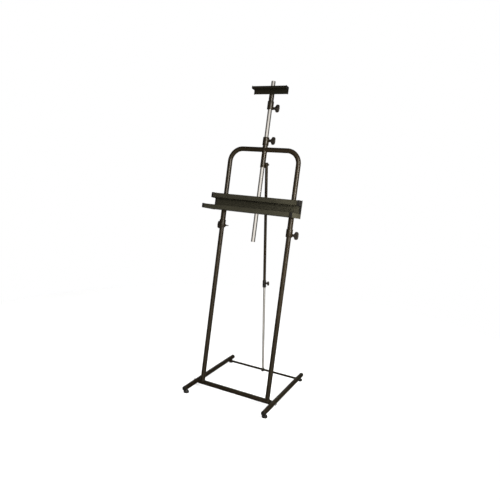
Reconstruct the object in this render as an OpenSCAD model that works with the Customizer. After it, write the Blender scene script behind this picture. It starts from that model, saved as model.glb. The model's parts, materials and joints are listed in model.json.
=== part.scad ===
// Free-standing tubular steel easel: a leaning U frame on a flat base, a sliding mast with a top
// clamp, a sliding ledge for the work, and a telescopic rear strut that sets the lean.
// Millimetres, +Z up, +Y to the back. The origin is on the floor, in the middle of the base.

/* [Base] */
// Distance between the axes of the two side rails
rail_gap = 470; // [450:5:500]
// Length of a side rail tube, without its end caps
rail_l = 552; // [500:4:600]
// Height of the rail axis above the floor
rail_z = 30; // [28:1:36]
// Outside diameter of the rails, the crossbar and the uprights
tube_d = 25.4; // [24.6:0.2:26]
// Wall of those tubes
tube_wall = 1.5; // [1.2:0.1:2]
// From a rail's front end to the tilting crossbar
crossbar_setback = 125.5; // [100:0.5:140]
// From a rail's rear end to the rear bar
rear_bar_setback = 68.5; // [40:0.5:90]
// Diameter of the solid rear bar
rear_bar_d = 12.7; // [10:0.1:14]
// Diameter of a levelling foot
foot_d = 30; // [24:1:34]
// Height of a foot's pad
foot_h = 12; // [8:1:13]

/* [Leaning frame] */
// Lean of the frame from upright
lean = 7; // [2:1:12]
// Distance between the axes of the two uprights
leg_gap = 398; // [380:2:410]
// From the crossbar's axis to the top bar's axis
frame_h = 1310; // [1250:5:1400]
// Bend radius at the frame's two top corners
bend_r = 70; // [50:5:90]

/* [Mast] */
// Outside diameter of the mast
mast_d = 22.2; // [21:0.1:23]
// Length of the mast
mast_l = 851; // [700:1:900]
// Height of the mast's lower end up the frame
mast_z = 818; // [800:1:900]
// Outside diameter of the socket and of the top clamp's sleeve
socket_d = 27; // [26.4:0.1:28]
// Height of the socket's lower end up the frame
socket_z = 1215; // [1200:1:1230]
// Length of the socket
socket_l = 160; // [150:1:180]

/* [Top clamp] */
// Length of the top clamp, across
holder_l = 195; // [160:5:240]
// Height of its sleeve's lower end up the frame
holder_z = 1522; // [1480:1:1540]
// Depth of its hood, from the back plate's face to the lip
holder_depth = 33; // [25:1:45]

/* [Ledge] */
// Length of the ledge, across
ledge_l = 508; // [490:2:560]
// Height of the ledge's lower edge up the frame
ledge_z = 967; // [900:1:1040]
// Height of the back panel
panel_h = 92; // [85:1:110]
// Depth of the groove that holds the lower edge of the work
groove_w = 43; // [30:1:50]
// Depth of the shelf in front of the panel
shelf_w = 128; // [100:1:150]
// Outside diameter of the sleeves that slide on the uprights
sleeve_d = 28.6; // [28.4:0.1:29.4]

/* [Strut] */
// Diameter of the strut's outer tube
strut_d = 16; // [15.6:0.1:17]
// Diameter of the strut's rod
rod_d = 12.7; // [12:0.1:12.7]
// From the strut's pivot to the lower end of its outer tube
strut_tube_l = 697; // [650:1:750]
// Length of the strut's rod
rod_l = 850; // [800:1:900]
// Height of the strut's pivot up the frame
strut_z = 1236; // [1226:1:1246]

/* [Hidden] */
$fn = 64;

black = [0.09, 0.08, 0.07];
plastic = [0.05, 0.05, 0.05];
olive = [0.16, 0.155, 0.12];
chrome = [0.78, 0.77, 0.76];
zinc = [0.55, 0.55, 0.53];

slack = 0.1;             // radial clearance of a running fit
gap = 0.3;               // gap between pieces that move past each other
eps = 0.01;
over = 1;                // cutters reach past the metal by this much
far = 2000;              // longer than the whole easel

// Base
rail_x = rail_gap/2;
crossbar_y = -rail_l/2 + crossbar_setback;
rear_bar_y = rail_l/2 - rear_bar_setback;
cap_t = 4.5;             // rail cap, outside the tube
cap_plug_l = 5;
foot_inset = 21;         // from a rail's end to a foot's axis
foot_y = rail_l/2 - foot_inset;
foot_edge = 3;           // bevel round a foot's sole
foot_shoulder = 6;       // how far a foot draws in towards its top
foot_core = 3;           // rubber under the stud
stud_d = 8;
insert_l = 12;
insert_wall = 1.5;
insert_rim_t = 0.8;
insert_rim_w = 2;
insert_drop = 1;         // the insert's rim hangs under the rail by this much
washer_t = 1.5;
washer_d = 20;
bolt_d = 8;
bolt_grip = 20;          // length of a pivot bolt inside the crossbar
bolt_head_d = 15;
bolt_head_t = 4;
bolt_key = 5;            // hexagon socket, across flats
bolt_key_floor = 2;      // metal left under the socket, from the rail
crossbar_l = rail_gap - tube_d - 2*(washer_t + gap);
crossbar_insert_l = 24;

// Clamps: a split band with two ears behind the tube, drawn together by a knob's screw
band_wall = 3;
band_h = 42;
ear_y = 24;              // screw's axis behind the tube's axis
ear_gap = 5;
ear_t = 4;
ear_r = 8;
screw_z = 12;            // screw's axis from the clamped end of the tube
screw_d = 6;
screw_tip = 19;
nut_t = 5;
nut_af = 10;
knob_reach = 43;         // knob's outer face from the tube's axis
knob_span = 42;
knob_t = 8;
knob_hub_d = 14;
knob_wing_x = 20;        // where the wings begin, from the tube's axis
knob_round = 3;          // cut off the wings' outer corners
knob_core = 8;           // plastic over the end of the screw
knob_flare = [0.35, 0.55];   // where the wings reach full width, as shares of their length
saw_cut = 2.5;
saw_over = 5;            // the saw cut runs past the band by this much
left_up = 8;             // the left ledge sleeve ends higher than the right one by this much
left_tip = 26;           // and its screw sticks out further

// Mast and top clamp
mast_wall = 1.2;
holder_sleeve_l = 107;
sheet = 1.5;             // sheet steel of the ledge and the top clamp
hood_back = socket_d/2 + slack;
hood_top = holder_z + holder_sleeve_l + 2;
hood_h = 34;
hood_lip_h = 12;
end_cap_t = 3;
rivet_d = 4;
rivet_head_d = 8;
rivet_head_t = 1.2;
hood_rivet_h = 28;       // the part of the hood's back plate that the rivets share

// Ledge, in the leaning frame
panel_back = sleeve_d/2 + slack;
panel_front = panel_back + sheet;
groove_z = ledge_z + 63; // underside of the groove's floor
groove_lip_h = 26;
shelf_lip_h = 21;
shelf_hem_h = 10;        // the shelf is turned up against the panel by this much
sleeve_z = 867;          // lower end of the right sleeve up the frame
sleeve_end_z = ledge_z + panel_h - 8;
ledge_rivet_z = ledge_z + 15;
ledge_rivet_h = 40;
cap_margin = 1.5;        // end caps stand proud of the sheet by this much
cap_wrap = 8;            // length of the strip that grips the panel's end
cap_wrap_z = ledge_z + 12;   // and its lower end

// Strut
strut_x = strut_d/2 + 2.5;   // strut runs beside the lug
strut_y = 24;                // pivot behind the mast's axis
lug_t = 4;
lug_h = 22;
pivot_d = 6;
strut_top_up = 10;
collar_d = 21;
collar_l = 42;
collar_lip = 2;          // the collar's floor, under the tube's end
thumb_wing_x = 15.5;
thumb_reach = 30;
thumb_span = 26;
thumb_hub_d = 10;
thumb_t = 6;
collar_knob_z = 26;      // thumb screw above the collar's lower end
eye_w = 10;
eye_d = 24;
eye_root = 11;           // from the eye's centre to the rod's end
eye_slack = 0.6;         // radial clearance round the rear bar
eye_slot = 1.5;          // the rear bar may also move this far each way in the eye
eye_set = 1.4;           // the eye's centre is this far in front of the bar's axis
pivot_head_t = 4;
pivot_nut_t = 5;
pivot_af = 10;
strut_pin_y = crossbar_y + strut_y*cos(lean) + strut_z*sin(lean);
strut_pin_z = rail_z - strut_y*sin(lean) + strut_z*cos(lean);
strut_rise = strut_pin_z - rail_z;
strut_run = rear_bar_y - eye_set - strut_pin_y;
strut_tilt = atan2(strut_run, strut_rise);
strut_l = norm([strut_run, strut_rise]);

// ---------- placing ----------

// The leaning frame: z runs up the uprights from the crossbar's axis, y is behind them
module on_frame()
    translate([0, crossbar_y, rail_z])
        rotate([-lean, 0, 0])
            children();

// The strut: z runs up it from its pivot
module on_strut()
    translate([strut_x, strut_pin_y, strut_pin_z])
        rotate([strut_tilt, 0, 0])
            children();

// A bar along x, centred
module bar_x(d, l)
    rotate([0, 90, 0])
        cylinder(d = d, h = l, center = true);

// A bar along x from x1 to x2
module bar_x_from(d, x1, x2)
    translate([x1, 0, 0])
        rotate([0, 90, 0])
            cylinder(d = d, h = x2 - x1);

// An outline of distance forward and height, drawn out along x and centred
module across(l)
    rotate([90, 0, 90])
        linear_extrude(l, center = true)
            mirror([1, 0])
                children();

module rect(x1, y1, x2, y2)
    translate([x1, y1])
        square([x2 - x1, y2 - y1]);

module tube(d, wall, l)
    difference() {
        cylinder(d = d, h = l);
        translate([0, 0, -over])
            cylinder(d = d - 2*wall, h = l + 2*over);
    }

module hex_x(af, x1, x2)
    translate([x1, 0, 0])
        rotate([0, 90, 0])
            cylinder(d = af/cos(30), h = x2 - x1, $fn = 6);

// ---------- base ----------

module side_rail(side)
    color(black)
        difference() {
            translate([side*rail_x, rail_l/2, rail_z])
                rotate([90, 0, 0])
                    tube(tube_d, tube_wall, rail_l);
            translate([side*rail_x, crossbar_y, rail_z])
                bar_x(bolt_d + 2*slack, tube_d + 2*over);
            for (end = [-1, 1])
                translate([side*rail_x, end*foot_y, rail_z - tube_d])
                    cylinder(d = stud_d + 2*insert_wall, h = tube_d);
        }

module rear_bar()
    color(black)
        difference() {
            translate([0, rear_bar_y, rail_z])
                bar_x(rear_bar_d, rail_gap);
            for (side = [-1, 1])
                translate([side*rail_x, 0, rail_z])
                    rotate([90, 0, 0])
                        cylinder(d = tube_d, h = rail_l, center = true);
        }

// A plug with a domed head, pushed into the end of a rail
module rail_cap(side, end)
    color(plastic)
        translate([side*rail_x, end*rail_l/2, rail_z])
            rotate([-90*end, 0, 0])
                rotate_extrude()
                    polygon(concat(
                        [[0, -cap_plug_l], [tube_d/2 - tube_wall - slack, -cap_plug_l],
                         [tube_d/2 - tube_wall - slack, 0], [tube_d/2, 0]],
                        [for (a = [15:15:90]) [tube_d/2 - cap_t*(1 - cos(a)), cap_t*sin(a)]],
                        [[0, cap_t]]));

// Threaded inserts in the undersides of the rails
module foot_inserts()
    color(zinc)
        for (side = [-1, 1], end = [-1, 1])
            translate([side*rail_x, end*foot_y, rail_z - tube_d/2 - insert_drop])
                difference() {
                    union() {
                        cylinder(d = stud_d + 2*insert_wall, h = insert_l);
                        cylinder(d = stud_d + 2*insert_wall + 2*insert_rim_w, h = insert_rim_t);
                    }
                    translate([0, 0, -over])
                        cylinder(d = stud_d + 2*slack, h = insert_l + 2*over);
                }

module foot(side, end)
    color(plastic)
        translate([side*rail_x, end*foot_y, 0])
            difference() {
                rotate_extrude()
                    polygon(concat(
                        [[0, 0], [foot_d/2 - foot_edge, 0], [foot_d/2, foot_edge],
                         [foot_d/2, foot_h/2]],
                        [for (a = [15:15:90]) [foot_d/2 - foot_shoulder*(1 - cos(a)),
                            foot_h/2 + foot_h/2*sin(a)]],
                        [[0, foot_h]]));
                translate([0, 0, foot_core])
                    cylinder(d = stud_d, h = foot_h);
            }

module foot_stud(side, end)
    color(zinc)
        translate([side*rail_x, end*foot_y, foot_core])
            cylinder(d = stud_d, h = rail_z - foot_core);

// ---------- leaning frame ----------

module crossbar()
    color(black)
        translate([0, crossbar_y, rail_z])
            rotate([0, 90, 0])
                difference() {
                    cylinder(d = tube_d, h = crossbar_l, center = true);
                    cylinder(d = tube_d - 2*tube_wall, h = crossbar_l + 2*over, center = true);
                }

// Threaded plugs inside the ends of the crossbar
module crossbar_inserts()
    color(zinc)
        translate([0, crossbar_y, rail_z])
            for (side = [-1, 1])
                translate([side*(crossbar_l/2 - crossbar_insert_l/2), 0, 0])
                    difference() {
                        bar_x(tube_d - 2*tube_wall - slack, crossbar_insert_l);
                        bar_x(bolt_d, crossbar_insert_l + 2*over);
                    }

// Two shoulder bolts that the crossbar turns on
module pivot_bolts()
    color(zinc)
        translate([0, crossbar_y, rail_z])
            for (side = [-1, 1])
                mirror([side < 0 ? 1 : 0, 0, 0]) {
                    bar_x_from(bolt_d, crossbar_l/2 - bolt_grip, rail_x + tube_d/2 + 2*gap);
                    difference() {
                        bar_x_from(bolt_head_d, rail_x + tube_d/2 + gap,
                            rail_x + tube_d/2 + gap + bolt_head_t);
                        hex_x(bolt_key, rail_x + tube_d/2 + bolt_key_floor,
                            rail_x + tube_d/2 + 2*bolt_head_t);
                    }
                }

module pivot_washers()
    color(plastic)
        translate([0, crossbar_y, rail_z])
            for (side = [-1, 1])
                translate([side*(crossbar_l/2 + washer_t/2), 0, 0])
                    difference() {
                        bar_x(washer_d, washer_t);
                        bar_x(bolt_d + slack, washer_t + 2*over);
                    }

// One upright: a leg, a bend and half of the top bar, welded to the crossbar and the socket
module upright(side)
    color(black)
        on_frame()
            mirror([side < 0 ? 1 : 0, 0, 0])
                difference() {
                    union() {
                        translate([leg_gap/2, 0, 0])
                            tube(tube_d, tube_wall, frame_h - bend_r);
                        translate([leg_gap/2 - bend_r, 0, frame_h - bend_r])
                            rotate([90, 0, 0])
                                rotate_extrude(angle = 90)
                                    translate([bend_r, 0])
                                        difference() {
                                            circle(d = tube_d);
                                            circle(d = tube_d - 2*tube_wall);
                                        }
                        translate([0, 0, frame_h])
                            rotate([0, 90, 0])
                                tube(tube_d, tube_wall, leg_gap/2 - bend_r);
                    }
                    bar_x(tube_d, leg_gap + 2*tube_d);
                    translate([0, 0, frame_h - tube_d])
                        cylinder(d = socket_d, h = 2*tube_d);
                }

// A sleeve with a saw cut in its clamped end, so that the band can close it
module sleeve(d, bore, l, cut_z)
    difference() {
        cylinder(d = d, h = l);
        translate([0, 0, -over])
            cylinder(d = bore, h = l + 2*over);
        translate([-saw_cut/2, 0, cut_z])
            cube([saw_cut, d, band_h + saw_over + over]);
    }

module mast_socket()
    color(black)
        on_frame()
            translate([0, 0, socket_z])
                sleeve(socket_d, mast_d + 2*slack, socket_l, socket_l - band_h - saw_over);

// Lug behind the socket that the strut hangs on
module strut_lug()
    color(black)
        on_frame()
            translate([0, 0, strut_z])
                difference() {
                    union() {
                        translate([-lug_t/2, 0, -lug_h/2])
                            cube([lug_t, strut_y, lug_h]);
                        translate([0, strut_y, 0])
                            bar_x(lug_h, lug_t);
                    }
                    cylinder(d = socket_d, h = 2*lug_h, center = true);
                    translate([0, strut_y, 0])
                        bar_x(pivot_d, lug_t + 2*over);
                }

// A split band with ears. The screw is near the lower end; up = -1 puts it near the upper end
module clamp_band(d, up)
    color(black)
        mirror([0, 0, up < 0 ? 1 : 0])
            difference() {
                union() {
                    cylinder(d = d + slack + 2*band_wall, h = band_h);
                    translate([-ear_gap/2 - ear_t, 0, screw_z - ear_r])
                        cube([ear_gap + 2*ear_t, ear_y, 2*ear_r]);
                    translate([0, ear_y, screw_z])
                        bar_x(2*ear_r, ear_gap + 2*ear_t);
                }
                translate([0, 0, -over])
                    cylinder(d = d + slack, h = band_h + 2*over);
                translate([-ear_gap/2, 0, -over])
                    cube([ear_gap, 2*ear_y, band_h + 2*over]);
                translate([0, ear_y, screw_z])
                    bar_x(screw_d + 2*slack, 2*ear_y);
            }

// Places the parts of a clamp's screw: x runs out from the tube's axis to the knob
module at_screw(z)
    translate([0, ear_y, z])
        children();

module clamp_nut()
    color(zinc)
        difference() {
            hex_x(nut_af, -ear_gap/2 - ear_t - nut_t, -ear_gap/2 - ear_t);
            bar_x(screw_d + 2*slack, 4*nut_af);
        }

// Half the outline of a pair of wings: distance out and half width
function wing(wing_x, reach, span, hub_d) = [
    [wing_x, hub_d/2],
    [wing_x + (reach - wing_x)*knob_flare[0], span/2 - knob_round],
    [wing_x + (reach - wing_x)*knob_flare[1], span/2],
    [reach - knob_round, span/2],
    [reach, span/2 - knob_round]];

// Knob with two wings
module knob(start, wing_x, reach, span, hub_d, wing_t)
    color(plastic)
        difference() {
            union() {
                bar_x_from(hub_d, start, reach - over);
                rotate([90, 0, 0])
                    linear_extrude(wing_t, center = true)
                        for (half = [0, 1])
                            mirror([0, half])
                                polygon(concat([[wing_x, 0]], wing(wing_x, reach, span, hub_d),
                                    [[reach, 0]]));
            }
            bar_x_from(screw_d, start - over, reach - knob_core);
        }

module clamp_knob()
    knob(ear_gap/2 + ear_t + gap, knob_wing_x, knob_reach, knob_span, knob_hub_d, knob_t);

module clamp_screw(tip = screw_tip)
    color(zinc)
        bar_x_from(screw_d, -tip, knob_reach - knob_core);

// ---------- mast ----------

module mast_tube()
    color(chrome)
        on_frame()
            translate([0, 0, mast_z])
                tube(mast_d, mast_wall, mast_l);

// ---------- top clamp ----------

module on_holder()
    on_frame()
        translate([0, 0, holder_z])
            children();

module holder_sleeve()
    color(black)
        on_holder()
            sleeve(socket_d, mast_d + 2*slack, holder_sleeve_l, -over);

module holder_hood()
    color(plastic)
        on_frame()
            difference() {
                across(holder_l - 2*end_cap_t) {
                    rect(hood_back, hood_top - hood_h, hood_back + sheet, hood_top);
                    rect(hood_back, hood_top - sheet, hood_back + sheet + holder_depth, hood_top);
                    rect(hood_back + holder_depth, hood_top - hood_lip_h,
                        hood_back + sheet + holder_depth, hood_top);
                }
                for (z = rivet_heights(hood_top - hood_h, hood_rivet_h))
                    translate([0, -hood_back - sheet - over, z])
                        rotate([-90, 0, 0])
                            cylinder(d = rivet_d, h = sheet + 2*over);
            }

function rivet_heights(z, h) = [z + h*0.25, z + h*0.75];

// Rivets through a sheet onto the front of a sleeve of diameter d
module rivets(d, heights)
    for (z = heights)
        translate([0, 0, z])
            rotate([90, 0, 0]) {
                cylinder(d = rivet_d, h = d/2 + slack + sheet);
                translate([0, 0, d/2 + slack + sheet])
                    cylinder(d = rivet_head_d, h = rivet_head_t);
            }

module holder_rivets()
    color(zinc)
        on_frame()
            difference() {
                rivets(socket_d, rivet_heights(hood_top - hood_h, hood_rivet_h));
                cylinder(d = socket_d, h = far);
            }

module holder_cap(side)
    color(plastic)
        on_frame()
            translate([side*(holder_l/2 - end_cap_t/2), 0, 0])
                across(end_cap_t) {
                    rect(hood_back - cap_margin, hood_top - hood_h - cap_margin,
                        hood_back + sheet + cap_margin, hood_top + cap_margin);
                    rect(hood_back, hood_top - hood_lip_h - cap_margin,
                        hood_back + sheet + holder_depth + cap_margin, hood_top + cap_margin);
                }

// ---------- ledge ----------

// Lower end of a ledge sleeve up the frame
function sleeve_start(side) = sleeve_z + (side < 0 ? left_up : 0);

module ledge_sleeve(side)
    color(black)
        on_frame()
            translate([side*leg_gap/2, 0, sleeve_start(side)])
                sleeve(sleeve_d, tube_d + 2*slack, sleeve_end_z - sleeve_start(side), -over);

module ledge_rivet_holes()
    for (side = [-1, 1], z = rivet_heights(ledge_rivet_z, ledge_rivet_h))
        translate([side*leg_gap/2, -panel_front - over, z])
            rotate([-90, 0, 0])
                cylinder(d = rivet_d, h = sheet + 2*over);

module ledge_panel()
    color(olive)
        on_frame()
            difference() {
                across(ledge_l - 2*end_cap_t) {
                    rect(panel_back, ledge_z, panel_front, ledge_z + panel_h);
                    rect(panel_back, groove_z, panel_front + groove_w + sheet, groove_z + sheet);
                    rect(panel_front + groove_w, groove_z, panel_front + groove_w + sheet,
                        groove_z + groove_lip_h);
                }
                ledge_rivet_holes();
            }

module ledge_shelf()
    color(olive)
        on_frame()
            across(ledge_l - 2*end_cap_t) {
                rect(panel_front, ledge_z, panel_front + shelf_w, ledge_z + sheet);
                rect(panel_front, ledge_z, panel_front + sheet, ledge_z + shelf_hem_h);
                rect(panel_front + shelf_w - sheet, ledge_z, panel_front + shelf_w,
                    ledge_z + shelf_lip_h);
            }

module ledge_rivets()
    color(zinc)
        on_frame()
            for (side = [-1, 1])
                translate([side*leg_gap/2, 0, 0])
                    difference() {
                        rivets(sleeve_d, rivet_heights(ledge_rivet_z, ledge_rivet_h));
                        cylinder(d = sleeve_d, h = far);
                    }

// A moulded cap that closes the groove and the shelf and grips the panel's end
module ledge_cap(side)
    color(plastic)
        on_frame() {
            translate([side*(ledge_l/2 - end_cap_t/2), 0, 0])
                across(end_cap_t) {
                    rect(panel_back - cap_margin, ledge_z - cap_margin,
                        panel_front + cap_margin, ledge_z + panel_h + cap_margin);
                    rect(panel_back, ledge_z - cap_margin, panel_front + shelf_w + cap_margin,
                        ledge_z + shelf_lip_h + cap_margin);
                    rect(panel_back, groove_z - cap_margin,
                        panel_front + groove_w + sheet + cap_margin,
                        groove_z + groove_lip_h + cap_margin);
                }
            translate([side*(ledge_l/2 - end_cap_t - cap_wrap/2 + eps), 0, 0])
                across(cap_wrap + 2*eps)
                    rect(panel_front, cap_wrap_z, panel_front + cap_margin, groove_z - over);
        }

// ---------- strut ----------

// Places the thumb screw's parts: x runs out from the strut's axis
module at_thumb_screw()
    translate([0, 0, -strut_tube_l - collar_lip + collar_knob_z])
        children();

module strut_tube()
    color(black)
        on_strut()
            difference() {
                translate([0, 0, -strut_tube_l])
                    tube(strut_d, (strut_d - rod_d)/2 - slack, strut_tube_l + strut_top_up);
                bar_x(pivot_d + 2*slack, strut_d + 2*over);
                at_thumb_screw()
                    bar_x_from(screw_d + 2*slack, 0, strut_d);
            }

// Collar round the tube's lower end, tapped for the thumb screw
module strut_collar()
    color(plastic)
        on_strut()
            difference() {
                translate([0, 0, -strut_tube_l - collar_lip])
                    cylinder(d = collar_d, h = collar_l);
                translate([0, 0, -strut_tube_l])
                    cylinder(d = strut_d, h = collar_l);
                translate([0, 0, -strut_tube_l - collar_lip - over])
                    cylinder(d = rod_d + 2*slack, h = collar_l);
                at_thumb_screw()
                    bar_x_from(screw_d + 2*slack, 0, collar_d);
            }

module strut_rod()
    color(chrome)
        on_strut()
            translate([0, 0, -strut_l + eye_root])
                cylinder(d = rod_d, h = rod_l);

// Slotted eye round the rear bar
module strut_eye()
    color(black)
        on_strut()
            translate([0, 0, -strut_l])
                difference() {
                    union() {
                        bar_x(eye_d, eye_w);
                        cylinder(d = eye_w, h = eye_root);
                    }
                    for (y = [-eye_slot, eye_slot])
                        translate([0, y, 0])
                            bar_x(rear_bar_d + 2*eye_slack, eye_w + 2*over);
                    cube([eye_w + 2*over, 2*eye_slot, rear_bar_d + 2*eye_slack], center = true);
                    translate([0, 0, eye_root])
                        cylinder(d = rod_d, h = eye_d);
                }

module strut_pivot_bolt()
    color(zinc)
        on_frame()
            translate([0, strut_y, strut_z]) {
                bar_x_from(pivot_d, -lug_t/2, strut_x + strut_d/2 + gap + pivot_nut_t + over);
                hex_x(pivot_af, -lug_t/2 - pivot_head_t, -lug_t/2);
            }

module strut_pivot_nut()
    color(zinc)
        on_frame()
            translate([0, strut_y, strut_z])
                difference() {
                    hex_x(pivot_af, strut_x + strut_d/2 + gap,
                        strut_x + strut_d/2 + gap + pivot_nut_t);
                    bar_x(pivot_d, rail_gap);
                }

// ---------- clamps in place ----------

socket_top = socket_z + socket_l;
socket_screw_z = socket_top - screw_z;
holder_screw_z = holder_z + screw_z;

module at_ledge_screw(side)
    on_frame()
        translate([side*leg_gap/2, 0, 0])
            mirror([side < 0 ? 1 : 0, 0, 0])
                at_screw(sleeve_start(side) + screw_z)
                    children();

module ledge_clamp(side)
    on_frame()
        translate([side*leg_gap/2, 0, sleeve_start(side)])
            clamp_band(sleeve_d, 1);

module ledge_clamp_nuts()
    for (side = [-1, 1])
        at_ledge_screw(side)
            clamp_nut();

module strut_knob()
    on_strut()
        at_thumb_screw()
            knob(collar_d/2 + gap, thumb_wing_x, thumb_reach, thumb_span, thumb_hub_d, thumb_t);

module strut_knob_screw()
    color(zinc)
        on_strut()
            at_thumb_screw()
                bar_x_from(screw_d, rod_d/2 + gap, thumb_reach - knob_core);

// ---------- nodes ----------

side_rail(-1);  // side_rail_left
side_rail(1);  // side_rail_right
rear_bar();
rail_cap(-1, -1);  // rail_cap_front_left
rail_cap(1, -1);  // rail_cap_front_right
rail_cap(-1, 1);  // rail_cap_rear_left
rail_cap(1, 1);  // rail_cap_rear_right
foot_inserts();
foot(-1, -1);  // foot_front_left
foot(1, -1);  // foot_front_right
foot(-1, 1);  // foot_rear_left
foot(1, 1);  // foot_rear_right
foot_stud(-1, -1);  // foot_stud_front_left
foot_stud(1, -1);  // foot_stud_front_right
foot_stud(-1, 1);  // foot_stud_rear_left
foot_stud(1, 1);  // foot_stud_rear_right
crossbar();
crossbar_inserts();
pivot_bolts();
pivot_washers();
upright(-1);  // upright_left
upright(1);  // upright_right
mast_socket();
strut_lug();
on_frame() translate([0, 0, socket_top]) clamp_band(socket_d, -1);  // socket_clamp
on_frame() at_screw(socket_screw_z) clamp_nut();  // socket_clamp_nut
strut_pivot_bolt();
strut_pivot_nut();
mast_tube();
holder_sleeve();
on_holder() clamp_band(socket_d, 1);  // holder_clamp
on_frame() at_screw(holder_screw_z) clamp_nut();  // holder_clamp_nut
holder_hood();
holder_rivets();
holder_cap(-1);  // holder_cap_left
holder_cap(1);  // holder_cap_right
ledge_sleeve(-1);  // ledge_sleeve_left
ledge_sleeve(1);  // ledge_sleeve_right
ledge_clamp(-1);  // ledge_clamp_left
ledge_clamp(1);  // ledge_clamp_right
ledge_clamp_nuts();
ledge_panel();
ledge_shelf();
ledge_rivets();
ledge_cap(-1);  // ledge_cap_left
ledge_cap(1);  // ledge_cap_right
on_frame() at_screw(socket_screw_z) clamp_knob();  // socket_knob
on_frame() at_screw(holder_screw_z) clamp_knob();  // holder_knob
at_ledge_screw(-1) clamp_knob();  // ledge_knob_left
at_ledge_screw(1) clamp_knob();  // ledge_knob_right
strut_knob();
on_frame() at_screw(socket_screw_z) clamp_screw();  // socket_knob_screw
on_frame() at_screw(holder_screw_z) clamp_screw();  // holder_knob_screw
at_ledge_screw(-1) clamp_screw(left_tip);  // ledge_knob_screw_left
at_ledge_screw(1) clamp_screw();  // ledge_knob_screw_right
strut_knob_screw();
strut_tube();
strut_collar();
strut_rod();
strut_eye();
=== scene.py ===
"""Looks for a tubular steel easel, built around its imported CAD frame. Metres, +Z up, +Y to the back."""
import json
import math

import bmesh
import bpy
from mathutils import Matrix, Vector


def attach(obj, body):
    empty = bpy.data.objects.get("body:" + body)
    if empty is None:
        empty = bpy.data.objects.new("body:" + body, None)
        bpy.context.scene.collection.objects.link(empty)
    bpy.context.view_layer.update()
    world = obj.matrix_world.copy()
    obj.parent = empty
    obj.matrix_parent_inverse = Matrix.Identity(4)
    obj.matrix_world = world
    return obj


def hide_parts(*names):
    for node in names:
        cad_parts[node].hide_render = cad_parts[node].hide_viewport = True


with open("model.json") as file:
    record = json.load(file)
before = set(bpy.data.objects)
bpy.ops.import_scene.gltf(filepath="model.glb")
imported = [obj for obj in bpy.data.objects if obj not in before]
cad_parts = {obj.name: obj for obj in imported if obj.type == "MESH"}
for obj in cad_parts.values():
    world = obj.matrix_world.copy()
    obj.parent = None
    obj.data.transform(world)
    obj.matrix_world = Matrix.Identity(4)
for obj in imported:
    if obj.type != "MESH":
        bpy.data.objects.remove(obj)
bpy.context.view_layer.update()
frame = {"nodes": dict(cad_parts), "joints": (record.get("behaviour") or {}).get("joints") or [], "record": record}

MM = 0.001
SEGMENTS = 48
NODES = frame["nodes"]
RECORD = frame["record"]
JOINTS = {j["name"]: j for j in frame["joints"]}
MOUNTS = {m["name"]: m for m in RECORD["mounts"]}
BODY_OF = {n: b for b, members in RECORD["behaviour"]["bodies"].items() for n in members}
SLOT_OF = {p["node"]: p["material_slot"] for p in RECORD["subparts"]}
SIDES = {"left": -1, "right": 1}
ENDS = {"front": -1, "rear": 1}


# ---------------------------------------------------------------- places, and sizes of CAD nodes

def place(origin, up, x_axis=(1, 0, 0)):
    """A place at origin: z runs along up, and x along x_axis, which is at right angles to up."""
    z, x = Vector(up).normalized(), Vector(x_axis).normalized()
    return Matrix.Translation(Vector(origin)) @ Matrix((x, z.cross(x), z)).transposed().to_4x4()


FLOOR = Matrix.Identity(4)
UP = Vector(JOINTS["mast_slide"]["axis"]).normalized()
# In the leaning frame z runs up the uprights from the crossbar and y is behind them
LEANING = place(JOINTS["frame_tilt"]["pos_m"], UP)
# Along the strut z runs up to its pivot
STRUT = place(JOINTS["strut_swing"]["pos_m"], -Vector(JOINTS["strut_extend"]["axis"]))
# A screw's place has z out to its knob; its x runs up the frame
SCREWS = {name: place(JOINTS[name + "_turn"]["pos_m"], JOINTS[name + "_turn"]["axis"], UP)
          for name in ("socket_knob", "top_clamp_knob", "ledge_knob_left", "ledge_knob_right")}
THUMB = place(JOINTS["strut_knob_turn"]["pos_m"], JOINTS["strut_knob_turn"]["axis"],
              -Vector(JOINTS["strut_extend"]["axis"]))


def span(node, where=FLOOR, keep=None):
    """Lowest and highest corner of a CAD node, measured in a place. keep picks the points."""
    to_local = where.inverted()
    points = [to_local @ v.co for v in NODES[node].data.vertices]
    points = [p for p in points if keep is None or keep(p)]
    return (Vector([min(p[i] for p in points) for i in range(3)]),
            Vector([max(p[i] for p in points) for i in range(3)]))


# ---------------------------------------------------------------- shapes: (points, faces)

def loft(rings, wrap=False):
    """Skin through rings of equally many points. It closes on itself, or has a flat face at each end."""
    n, count = len(rings[0]), len(rings)
    steps = [(a, a + 1) for a in range(count - 1)] + ([(count - 1, 0)] if wrap else [])
    faces = [(a*n + i, a*n + (i + 1) % n, b*n + (i + 1) % n, b*n + i)
             for a, b in steps for i in range(n)]
    if not wrap:
        faces += [tuple(reversed(range(n))), tuple(range((count - 1)*n, count*n))]
    return [p for ring in rings for p in ring], faces


def joined(shapes):
    points, faces = [], []
    for some, their in shapes:
        faces += [tuple(i + len(points) for i in f) for f in their]
        points += some
    return points, faces


def moved(shape, matrix):
    return [matrix @ p for p in shape[0]], shape[1]


MIRROR_X = Matrix.Scale(-1, 4, (1, 0, 0))


def mirrored(shape, side):
    return moved(shape, MIRROR_X) if side < 0 else shape


def circle(radius, z, segments=SEGMENTS):
    """A ring round z. The radius is a number or a function of the angle."""
    turn = [2*math.pi*i/segments for i in range(segments)]
    size = [radius(a) if callable(radius) else radius for a in turn]
    return [Vector((r*math.cos(a), r*math.sin(a), z)) for a, r in zip(turn, size)]


def lathe(profile, wrap=False, segments=SEGMENTS):
    """Turned shape from (radius, z) points."""
    return loft([circle(r, z, segments) for r, z in profile], wrap)


def arc(x, y, radius, start, end, steps=6):
    """Points of an arc, angles in degrees."""
    turn = [math.radians(start + (end - start)*k/steps) for k in range(steps + 1)]
    return [(x + radius*math.cos(a), y + radius*math.sin(a)) for a in turn]


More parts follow.
